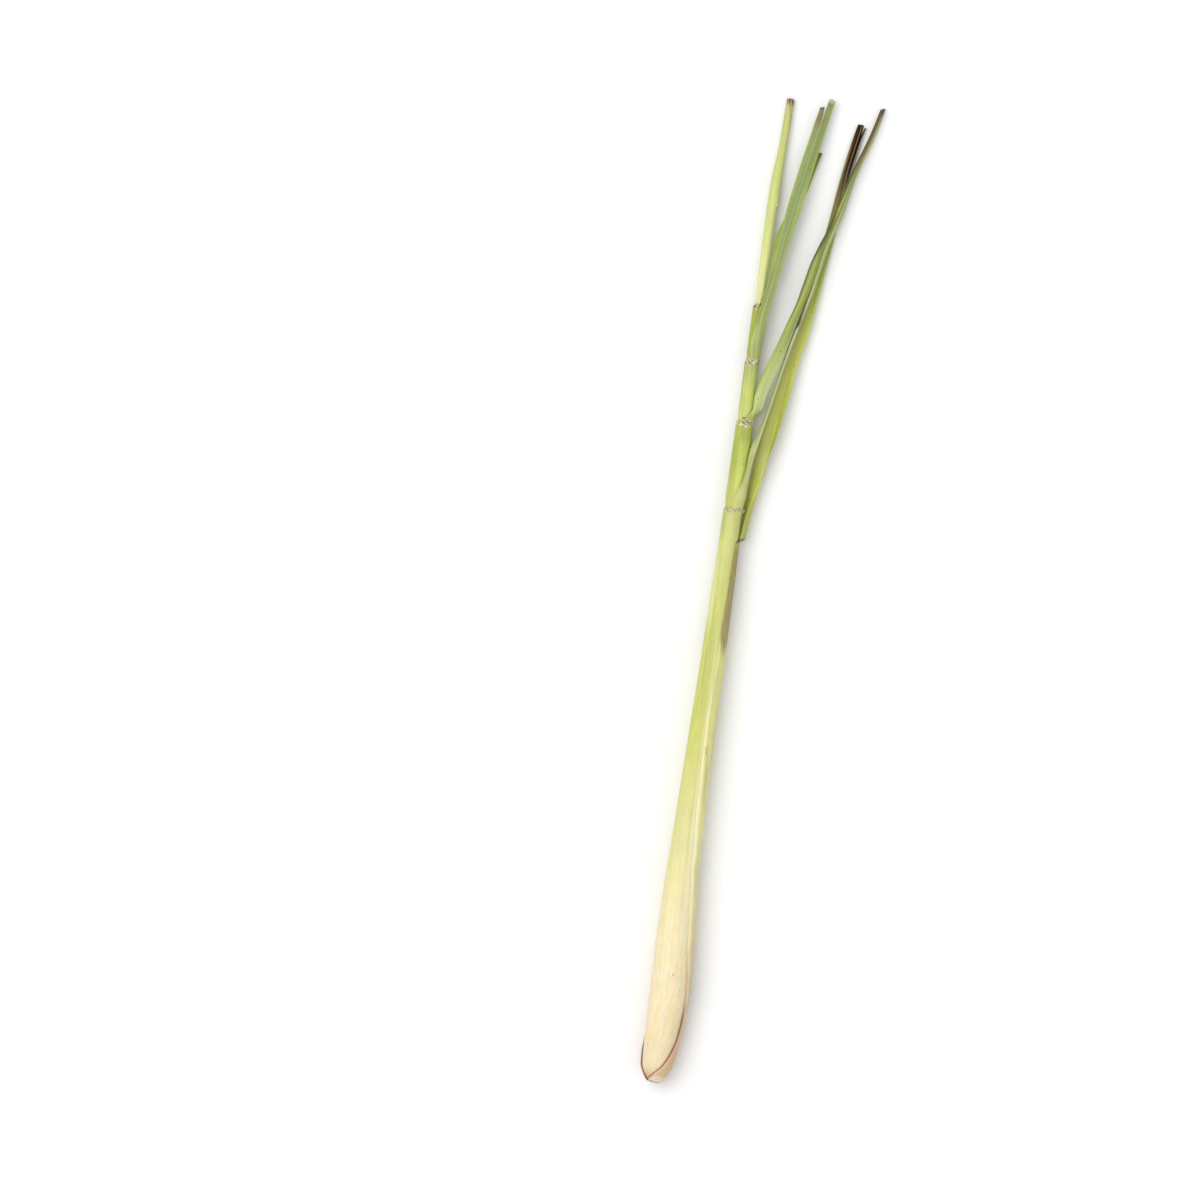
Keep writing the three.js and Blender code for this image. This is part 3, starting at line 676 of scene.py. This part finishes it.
class LeafShading(Shading):
    """What all leaves share: lengthwise veins, margins, a scarred collar, specks and a dry tip."""

    def __init__(self, name, seed, roughness=0.5):
        super().__init__(name, roughness, specular=0.25)
        self.seed = seed
        self.along, self.across = self.fact("along"), self.fact("across")
        self.edge, self.inside = self.fact("edge"), self.fact("inside")

    # Where on the leaf. The first three give 0 at low and 1 at high, and low may be the greater one.

    def past(self, low, high):
        """By the distance from the foot."""
        return self.step(self.along, low, high)

    def leftward(self, low, high):
        """By the distance from the midrib to the left, as seen on the outer face."""
        return self.step(self.across, low, high)

    def inward(self, low, high):
        """By the distance from the nearer margin."""
        return self.step(self.edge, low, high)

    def stretch(self, start, full, fade, end):
        """1 along the leaf from full to fade."""
        return self.times(self.past(start, full), self.past(end, fade))

    def stripe(self, centre, far, near):
        """1 across the leaf within near of the centre."""
        return self.step(self.math("ABSOLUTE", self.add(self.across, -centre)), far, near)

    def spot(self, across, along, width, length, seed=15):
        """A ragged spot at a place, with a half-width and a half-length."""
        dx = self.math("DIVIDE", self.math("SUBTRACT", self.across, across), width)
        dy = self.math("DIVIDE", self.math("SUBTRACT", self.along, along), length)
        far = self.math("SQRT", self.add(self.times(dx, dx), self.times(dy, dy)))
        torn = self.times(self.noise(self.across, self.along, 0.5, 0.5, seed), 1.2)
        return self.step(self.add(far, torn), 1.5, 0.9)

    def spots(self, code, share, *places, seed=15):
        for place in places:
            self.tint(code, self.spot(*place, seed), share)

    def grain(self, width, length, offset, detail=2.0):
        """Noise, about 0.5, in patches of the given width and length on the leaf."""
        return self.noise(self.across, self.along, width, length, self.seed + offset, detail)

    def patches(self, low, high, *grain):
        """Patches of the grain: 0 where it is under low, 1 where it is over high."""
        return self.step(self.grain(*grain), low, high)

    def swing(self, reach, *grain):
        """The grain as a swing to both sides of 0."""
        return self.times(self.math("SUBTRACT", self.grain(*grain), 0.5), reach)

    def veins(self):
        """Fine ribs along the leaf, from 0 to 1, which wander a little."""
        wander = self.times(self.grain(3, 90, 0.3), 9)
        phase = self.add(self.times(self.across, 2 * math.pi / VEIN_SPACING), wander)
        return self.add(0.5, self.times(self.math("SINE", phase), 0.5))

    def skin(self, greener, streak, blotch):
        """The living surface: veins, streaks and blotches of light and dark, and greener streaks."""
        green = self.times(self.patches(0.48, 0.68, 1.2, 34, 5.6, 3), self.past(70, 130))
        self.tint(greener, green, 0.4)
        self.vary((self.veins(), 0.05), (self.grain(0.3, 14, 1.7), 2.2 * streak),
            (self.grain(1.1, 40, 2.9, 3), 2.4 * streak), (self.grain(2.6, 8, 4.1, 5), 2.2 * blotch))

    def specks(self, amount):
        """Small dark marks, gathered in patches."""
        fine = self.patches(0.735 - 0.03 * amount, 0.80 - 0.03 * amount, 0.5, 0.9, 6.3, 1)
        self.tint(UMBER, fine, self.patches(0.45, 0.6, 6, 22, 7.7, 1), 0.75)

    def blade_tones(self, collar, midrib, margin):
        """The midrib and the margins of the part of the leaf past its collar."""
        open_part = self.past(collar + 4, collar + 14)
        self.tint(midrib, self.stripe(0, 0.75, 0.15), open_part, 0.55)
        self.tint(margin, self.inward(0.75, 0.15), open_part, 0.6)

    def collar(self, at, pale, dark_share):
        """A pale scarred ring, of uneven height and strength, with dark marks round the collar."""
        lift = self.swing(5, 1.1, 3, 8.2, 3)
        ring = self.step(self.math("ABSOLUTE", self.add(self.along, -at + 0.3, lift)), 1.9, 0.7)
        self.tint(pale, ring, self.patches(0.3, 0.5, 0.8, 0.7, 8.9, 3), 0.9)
        self.tint("4e4128", ring, self.patches(0.49, 0.56, 0.55, 0.5, 9.4, 2), dark_share)

    def dry_tip(self, tip, length, dark, share=0.85):
        """A tip that has dried from its cut end and its margins inwards."""
        reach = self.add(self.along, self.times(self.grain(1.1, 14, 10.6), 0.9 * length),
            self.times(self.inward(0.7, 0.0), 0.25 * length))
        self.tint(dark, self.step(reach, tip - 0.35 * length, tip + 0.55 * length), share)

    def relief(self, vein=0.02, wrinkle=0.05):
        """The heights of the veins and of the wrinkles between them."""
        wrinkles = self.add(self.grain(0.5, 25, 1.7), self.grain(1.4, 5, 3.3, 4))
        return self.add(self.times(self.veins(), vein), self.times(wrinkles, wrinkle))


def dried_sheath(m, sheath):
    """The stains, the papery margins and the burnt fringe of leaf_1's sheath."""
    uneven = m.add(m.along, m.swing(34, 0.6, 12, 4.6, 3))
    dried = m.times(m.inward(7, 3.5), sheath, m.step(uneven, 182, 190))
    m.tint("8b7942", dried, m.add(0.4, m.grain(0.7, 5, 5.2, 4)), 0.95)
    blush = m.times(m.inward(2.8, 1.4), m.grain(0.9, 9, 12.2, 3))
    m.tint("d6a890", blush, m.past(44, 14))
    ochre = m.times(m.patches(0.3, 0.7, 1.4, 14, 11.2, 4), m.inward(1.4, 2.8))
    m.tint("c9a55c", ochre, m.past(40, 14), 0.75)
    m.tint("f0dfcc", m.past(3.6, 1.6), m.inward(1.5, 3.5), 0.8)
    sooty = m.patches(0.5, 0.58, 1.3, 1.5, 9.1, 3)
    m.tint("7f766a", m.past(2.8, 1.2), sooty, 0.6)
    m.tint("f1e6bd", m.inward(1.3, 0.2), m.stretch(40, 60, 140, 175), 0.6)
    m.tint("c98f76", m.inward(0.7, 0.3), m.stretch(26, 36, 50, 62), 0.35)
    torn = m.add(m.edge, m.times(m.grain(0.6, 4, 13.1), 0.2))
    reddened = m.math("MAXIMUM", m.leftward(-1, 0), m.past(18, 14))
    fringe = m.times(m.step(torn, 1.0, 0.75), m.past(37, 27), reddened)
    m.tint(RUST, fringe, 0.95)
    m.tint("6f4223", fringe, m.step(torn, 0.5, 0.3), 0.6)
    m.tint("3d281a", fringe, m.past(22, 14), m.leftward(0, -1), 0.9)
    m.tint("4f463c", m.past(4.5, 2.5), m.inward(1.2, 0.4), 0.8)


def withered_tip(m):
    """The dark brown end of leaf_1's blade, with a pale midrib and grey and olive margins."""
    reach = m.add(m.along, m.swing(36, 0.7, 25, 17.1, 3))
    withered = m.step(reach, 376, 392)
    m.plug(m.shader.inputs["Specular IOR Level"], m.step(reach, 400, 360))
    m.tint("422e15", withered)
    m.tint("432c18", m.stripe(0.2, 0.75, 0.35), m.stretch(367, 376, 392, 400), 0.9)
    m.tint("291a09", withered, m.patches(0.40, 0.55, 0.4, 30, 18.7, 2), 0.8)
    m.tint("937a68", withered, m.stripe(0.2, 0.55, 0.2), 0.75)
    m.tint("1d1610", withered, m.leftward(0.7, 1.1))
    pale = m.times(m.inward(0.45, 0.15), m.leftward(0.2, 0.6))
    m.tint("99937e", pale, m.past(370, 392), 0.8)
    olive = m.times(m.leftward(-1.2, -1.8), m.past(412, 385))
    m.tint("9c935c", olive, withered, 0.85)


def dry_leaf():
    """leaf_1: papery where its sheath has dried, olive in the blade, and withered at the tip."""
    m = LeafShading("dry outer leaf", 1, roughness=0.55)
    m.ramp(m.along, {0: "dcc7ae", 6: "d0b795", 10: "c9ad88", 36: "c9b695", 62: "d3c88f", 87: "d7d098",
        112: "e0db95", 146: "d8d588", 180: "d0cf7b", 230: "a4a63c", 242: "abad42", 254: "c8cd5a",
        270: "a9af40", 290: "b4ba49", 310: "b9be54", 340: "aeba4c", 360: "969559", 376: "8f8250",
        392: "5c452c", 412: "3e2416"})
    m.skin("8f9a50", 0.07, 0.06)
    sheath = m.past(COLLARS[0] + 1, COLLARS[0] - 4)
    dried_sheath(m, sheath)
    # The blade shows its inner face, on which leftward() grows to the right.
    # Painted shade: the left wall of the blade's channel is darkened olive as if it lay in shade, less so
    # near the tube.
    left = m.times(m.leftward(-0.4, -1.4), m.stretch(240, 262, 350, 372))
    deep = m.add(0.2, m.times(m.past(288, 330), 0.4))
    m.tint("77793a", left, deep, m.grain(0.8, 60, 14.3))
    # The lime right margin is partly the leaf's own colour and partly painted light, as on a wall that faces
    # the lamp.
    right = m.times(m.inward(1.6, 0.3), m.leftward(-0.2, 0.5))
    m.tint("aebd4a", right, m.stretch(250, 285, 350, 372), 0.6)
    m.tint("cab074", m.stripe(0, 0.9, 0.3), m.stretch(240, 262, 330, 350), 0.35)
    m.spots(UMBER, 0.7, (1.6, 262, 0.3, 1.3), (0.6, 285, 0.25, 0.7), (1.4, 306, 0.25, 1.2),
        (-1, 322, 0.2, 0.8))
    stain = m.spot(9.6, 141, 1.1, 4, 25)
    m.tint("d8c25e", stain, 0.6)
    m.tint(DRAB, stain, m.patches(0.52, 0.6, 0.5, 0.8, 27.2), 0.7)
    withered_tip(m)
    uneven = m.swing(2.4, 0.8, 1.1, 26.4, 3)
    mouth = m.step(m.math("ABSOLUTE", m.add(m.along, -COLLARS[0] - 1.1, uneven)), 1.4, 0.6)
    m.tint("533720", mouth, m.leftward(-1.3, 0.1), 0.85)
    m.specks(1)
    m.tint("e8dcb0", m.inside, sheath, 0.4)
    return m.finish(m.relief(0.02, 0.09))


def pale_leaf():
    """leaf_2: the cream bulb and the yellow-green neck, and a grey-green blade."""
    m = LeafShading("pale leaf", 2, roughness=0.45)
    m.ramp(m.along, {0: "d3c0a3", 8: "e3d2b2", 20: "e8d8b3", 36: "e9dcb9", 62: "e8dab2", 87: "dfd59c",
        112: "d4cf90", 146: "c6c66c", 190: "c0c36d", 226: "c8c97e", 242: "bec177", 252: "c5c88d",
        265: "a6a978", 288: "a8ae78", 304: "9ba763", 345: "9ba75c", 385: "8e995b", 397: "9f9b64",
        410: "a8966a", 420: "8c7b58"})
    m.skin("bccb6a", 0.05, 0.045)
    m.tint("e9bb9c", m.past(76, 12), m.patches(0.42, 0.64, 1.2, 5, 12.2, 4), 0.38)
    m.tint("e6cd84", m.patches(0.46, 0.66, 1.2, 4.2, 13.4, 4), m.past(100, 40), 0.5)
    m.tint("d3d5a6", m.patches(0.48, 0.66, 1.4, 4, 16.8, 4), m.past(110, 60), 0.45)
    lit = m.times(m.leftward(4.2, 1.6), m.stretch(45, 80, 172, 205))
    m.tint("ebe8c6", lit, m.add(0.25, m.times(m.grain(0.8, 40, 19.3, 3), 0.7)))
    shaded = m.times(m.leftward(7.2, 5.6), m.leftward(3.6, 5.2), m.stretch(148, 165, 190, 206))
    m.tint("a3a652", shaded, m.grain(0.7, 30, 21.3, 3), 0.7)
    m.tint("dfe0a8", m.leftward(5.6, 7.2), m.stretch(186, 200, 216, 228), 0.5)
    # Painted shade in small patches: the left side of the neck round the first collar is darkened olive, as
    # if a stalk beside it shaded it.
    scarred = m.times(m.leftward(5, 6.6), m.stretch(226, 236, 244, 250))
    m.tint("8f9458", scarred, m.grain(0.6, 1.2, 22.3, 3), 0.8)
    m.tint("cf9455", m.past(6, 2), m.grain(1.2, 3, 14.1, 3), 1.1)
    m.blade_tones(COLLARS[1], "c2c48e", "aab873")
    m.collar(COLLARS[1], "cbcd9b", 0.6)
    m.tint("c8c490", m.stripe(0, 1.4, 0.6), m.stretch(300, 322, 330, 346), 0.6)
    # Painted shadow: a near-black line on leaf_2 beside the right margin of leaf_3, for the shaded gap
    # between the two leaves.
    right_end = m.add(m.across, m.times(m.add(m.along, -318), -0.025))
    left_end = m.add(m.across, m.times(m.add(m.along, -316), 0.2))
    gap_shadow = m.times(m.step(right_end, -0.4, -0.1), m.past(344, 338), m.step(left_end, 1.0, 1.4))
    m.tint("3a2816", gap_shadow, 0.92)
    m.spots("9c9152", 0.45, (6.5, 176, 0.45, 16), (7.4, 160, 0.4, 9), (5.6, 202, 0.35, 7), seed=17)
    m.spots(DRAB, 0.7, (5.4, 46.2, 0.45, 0.8), (11.2, 16, 0.4, 0.6), (5.5, 242.2, 0.7, 0.8))
    m.specks(0)
    m.dry_tip(LEAVES[1]["tip"], 14, "6c5544")
    m.tint("505248", m.past(414.8, 416.4), 0.7)
    return m.finish(m.relief(0.012, 0.06))


def green_leaf():
    """leaf_3: yellow-green in the tube, mid green in the blade, with a dark edge."""
    m = LeafShading("green leaf", 3)
    m.ramp(m.along, {0: "f0e8c0", 150: "dfe09a", 240: "c4c76c", 253: "c2c768", 268: "a7b049", 279: "a3ab56",
        290: "bcc87e", 312: "98a350", 335: "8f9848", 360: "85913e", 390: "7e893a", 405: "6e6a36",
        420: "5f5334"})
    m.skin("7d9340", 0.09, 0.06)
    m.blade_tones(COLLARS[2], "a5af6c", "8ea03a")
    # Painted shade in mottled patches: the left side of the tube above the first collar is darkened, as if a
    # stalk beside it shaded it.
    mottled_shade = m.times(m.leftward(4.6, 6.4), m.stretch(240, 244, 262, 272), m.grain(0.6, 1.2, 22.3, 3))
    m.tint("83894f", mottled_shade, 0.495)
    lit = m.times(m.leftward(5.2, 4), m.leftward(-0.5, 1), m.stretch(246, 254, 268, 275))
    m.tint("dbe07e", lit, 0.28)
    m.tint("d2d8a6", m.leftward(0.6, -1.2), m.stretch(281, 287, 300, 322), 0.5)
    left_edge = m.times(m.inward(1.1, 0.4), m.leftward(-0.1, 0.3))
    band = m.times(m.leftward(-0.7, -0.2), m.stretch(348, 361, 365, 374))
    faint_band = m.times(m.leftward(-0.4, 0.1), m.stretch(376, 387, 392, 400), 0.6)
    m.tint("4c5622", m.add(left_edge, band, faint_band), m.past(312, 345), 0.85)
    m.tint("5d4c30", m.leftward(-0.6, 0), m.past(386, 400), 0.85)
    m.tint("a08f62", m.leftward(0, -0.5), m.past(388, 402), 0.7)
    m.collar(COLLARS[2], FADED, 0.8)
    m.spots(UMBER, 0.8, (0.3, 290, 0.35, 0.6), (-0.5, 311, 0.3, 0.8), (2.0, 262, 0.25, 0.5),
        (3.5, 279.3, 0.9, 0.6))
    m.specks(1)
    m.dry_tip(LEAVES[2]["tip"], 22, "54432f", 0.7)
    m.tint("4b4e46", m.past(414.6, 416.2), 0.7)
    return m.finish(m.relief())


def grey_green_leaf():
    """leaf_4: the widest blade, bloomed with grey, with lime margins."""
    m = LeafShading("grey-green leaf", 4)
    m.ramp(m.along, {0: "f0e8c0", 180: "dfe09a", 279: "c1c86f", 294: "bec669", 304: "a8b069", 316: "aab36f",
        332: "929f54", 355: "8a9750", 385: "86944a", 420: "858d51"})
    m.skin("7f9448", 0.07, 0.06)
    open_part = m.past(COLLARS[3] + 2, COLLARS[3] + 10)
    m.tint("a9b08c", m.patches(0.42, 0.64, 0.6, 1.4, 12.5, 3), open_part, 0.3)
    m.tint("76854c", m.patches(0.45, 0.6, 1.3, 200, 13.7, 1), open_part, 0.3)
    cool = m.times(m.stripe(0, 2.2, 0.2), open_part, m.past(318, 336))
    m.tint("74895c", cool, m.patches(0.25, 0.75, 1.1, 16, 18.4, 4))
    m.tint("a9b373", m.leftward(-0.5, -1.3), m.stretch(318, 328, 376, 392), 0.55)
    m.tint("737b3f", m.leftward(0.6, 1.4), m.stretch(318, 324, 338, 350), 0.6)
    m.blade_tones(COLLARS[3], "98a465", "a3b548")
    m.collar(COLLARS[3], FADED, 0.9)
    m.spots(UMBER, 0.85, (2.3, 281.3, 1.3, 0.7), (-1.35, 304.3, 0.6, 0.7))
    m.specks(0)
    high_half = m.leftward(0.1, 0.5)
    burnt = m.step(m.add(m.along, m.times(m.grain(0.5, 12, 16.2, 3), 9)), 409, 415)
    streaked = m.add(0.3, m.times(m.patches(0.38, 0.6, 0.45, 7, 19.2, 3), 0.6))
    m.tint("7c5646", high_half, burnt, streaked)
    m.tint("4d4338", m.past(413.6, 414.4), high_half, 0.7)
    pale = m.times(m.past(416.8, 417.8), m.leftward(0.2, -0.4))
    m.tint("cbc4a6", pale, 0.85)
    m.tint("7a6a54", pale, m.patches(0.5, 0.6, 0.7, 0.7, 20.3, 2), 0.6)
    return m.finish(m.relief(0.02, 0.06))


def lime_leaf():
    """leaf_5: a bright tube and a blade that is mostly behind the one before."""
    m = LeafShading("lime leaf", 5)
    m.ramp(m.along, {0: "f0e8c0", 200: "dfe09a", 305: "9ea744", 329: "9fa646", 340: "96a33e", 370: "93a146",
        385: "8b9a42", 396: "6f6d3c"})
    m.skin("7f9440", 0.08, 0.06)
    m.blade_tones(COLLARS[4], "a9b35c", "98a83c")
    m.collar(COLLARS[4], "cfc795", 1.0)
    m.spots("6b5226", 0.85, (5.1, 328.3, 1.1, 1.3))
    m.specks(1)
    m.dry_tip(LEAVES[4]["tip"], 6, "5d5236")
    return m.finish(m.relief())


def heart_leaf():
    """The rolled leaf: the palest of the green ones, shaded along its free margin."""
    m = LeafShading("heart leaf", 6, roughness=0.45)
    m.ramp(m.along, {0: "f2ecc8", 300: "e6e6a6", 330: "ddd8a6", 345: "d1d38f", 365: "c6cc83", 390: "bdc675",
        410: "bab775", 420: "ae9f71"})
    m.skin("b9c86a", 0.06, 0.05)
    shade = m.times(m.inward(0.45, 0.15), m.past(HEART_SCAR - 6, HEART_SCAR + 4))
    m.tint("7a6a3a", shade, 0.55)
    scar_across = math.radians(HEART_SCAR_ANGLE - HEART_MARGIN) * float(heart_radius(HEART_SCAR))
    m.tint("8a7440", m.spot(scar_across, HEART_SCAR, 1.5, 1.1, 18), 0.6)
    m.tint("f2eede", m.spot(scar_across, HEART_SCAR, 0.75, 0.8), 0.9)
    m.specks(0)
    m.dry_tip(TOP, 6, "8b6338", 0.75)
    burnt = m.times(m.past(413.5, 416), m.patches(0.48, 0.56, 0.7, 4, 16.4, 1))
    m.tint("4a3226", burnt, 0.8)
    return m.finish(m.relief(0.01, 0.04))


def tissue(name, pale, dark, seed):
    """Cut or torn plant tissue, with the ends of its fibres."""
    m = Shading(name, 0.7, 0.15)
    split = m.nodes.new("ShaderNodeSeparateXYZ")
    m.plug(split.inputs[0], m.nodes.new("ShaderNodeTexCoord").outputs["Object"])
    x, y, z = [m.times(axis, 1 / MM) for axis in split.outputs]
    fibres = m.noise(x, z, 0.28, 0.28, seed, 2)
    blotch = m.noise(x, m.add(y, z), 1.4, 1.4, seed + 3, 3)
    m.colour = m.mix(m.step(blotch, 0.35, 0.65), tone(pale), tone(dark))
    m.tint("5a4128", m.step(fibres, 0.55, 0.68), 0.7)
    return m.finish(m.add(m.times(fibres, 0.12), m.times(blotch, 0.2)))


def membrane():
    """The thin skin of a ligule."""
    m = Shading("ligule", 0.6, 0.2)
    x, y, edge = m.fact("across"), m.fact("along"), m.fact("edge")
    m.ramp(edge, {0: "a99a66", 1.2: "cccb98", 2: "cdd29a"})
    m.vary((m.noise(x, y, 0.3, 2, 3), 0.2))
    m.tint(UMBER, m.step(m.noise(x, y, 0.3, 0.4, 8), 0.6, 0.7), 0.7)
    return m.finish(m.times(m.noise(x, y, 0.2, 3, 5), 0.05))


cut_end = tissue("cut ends", "c9b98a", "a08a5c", 21)
foot_cut = tissue("cut foot", "d4c3a0", "9c8468", 22)
ligule = membrane()
LOOKS = {"dry_outer_leaf": dry_leaf, "pale_leaf": pale_leaf, "green_leaf": green_leaf,
    "grey_green_leaf": grey_green_leaf, "lime_leaf": lime_leaf}
for i, (slot, look) in enumerate(LOOKS.items()):
    leaf_object(i, [look(), cut_end, ligule])
heart_object([heart_leaf(), cut_end])
crown_object([tissue("crown", "e6d9b4", "cdb98c", 23), foot_cut])

# ---- floor, lights and camera

FLOOR_HALF = 6.0  # metres
FLOOR_TONE, FLOOR_ROUGHNESS, FLOOR_SPECULAR = 0.88, 0.9, 0.1
SOFTBOX_PLACE, SOFTBOX_SIZE, SOFTBOX_POWER = (-0.98, 0.3, 1.95), 1.8, 22.5
HORIZON, ZENITH = 0.45, 1.05  # strength of the white studio's light, from the side and from above
FIELD = 0.5035  # the width of table that the picture takes in
LENS, SENSOR = 250, 36  # millimetres
CAMERA_X, CAMERA_Y = -0.06708, -0.01187
CAMERA_FOCUS = 0.007  # the height at which the picture is FIELD wide
CAMERA_TURN = 7.576  # degrees


def make_floor():
    mesh = bpy.data.meshes.new("floor")
    r = FLOOR_HALF
    mesh.from_pydata([(-r, -r, 0), (r, -r, 0), (r, r, 0), (-r, r, 0)], [], [(0, 1, 2, 3)])
    material = bpy.data.materials.new("white table")
    material.use_nodes = True
    shader = material.node_tree.nodes["Principled BSDF"]
    shader.inputs["Base Color"].default_value = (FLOOR_TONE, FLOOR_TONE, FLOOR_TONE, 1)
    shader.inputs["Roughness"].default_value = FLOOR_ROUGHNESS
    shader.inputs["Specular IOR Level"].default_value = FLOOR_SPECULAR
    mesh.materials.append(material)
    floor = add_object("floor", mesh)


def make_softbox():
    """A round light that faces the middle of the stalk."""
    light = bpy.data.lights.new("softbox", "AREA")
    light.shape = "DISK"
    light.size = SOFTBOX_SIZE
    light.energy = SOFTBOX_POWER
    softbox = add_object("softbox", light)
    softbox.location = SOFTBOX_PLACE
    softbox.rotation_euler = (-Vector(SOFTBOX_PLACE)).to_track_quat("-Z", "Y").to_euler()


def make_studio():
    """A white studio whose light comes mostly from above."""
    world = bpy.data.worlds.new("studio")
    world.use_nodes = True
    nodes, links = world.node_tree.nodes, world.node_tree.links
    split = nodes.new("ShaderNodeSeparateXYZ")
    height = nodes.new("ShaderNodeMapRange")
    height.inputs["To Min"].default_value = HORIZON
    height.inputs["To Max"].default_value = ZENITH
    links.new(nodes.new("ShaderNodeTexCoord").outputs["Generated"], split.inputs[0])
    links.new(split.outputs["Z"], height.inputs["Value"])
    links.new(height.outputs["Result"], nodes["Background"].inputs["Strength"])
    nodes["Background"].inputs["Color"].default_value = (1, 1, 1, 1)
    bpy.context.scene.world = world


def make_camera():
    """A camera that looks straight down, turned so that the stalk leans to the right as in the photo."""
    camera = bpy.data.cameras.new("camera")
    camera.lens = LENS
    camera.sensor_width = SENSOR
    camera.sensor_fit = "HORIZONTAL"
    camera.clip_end = 50
    holder = add_object("camera", camera)
    holder.location = (CAMERA_X, CAMERA_Y, CAMERA_FOCUS + FIELD * LENS / SENSOR)
    holder.rotation_euler = Euler((0, 0, math.radians(CAMERA_TURN)))
    bpy.context.scene.camera = holder


make_floor()
make_softbox()
make_studio()
make_camera()
bpy.context.scene.view_settings.view_transform = "Standard"
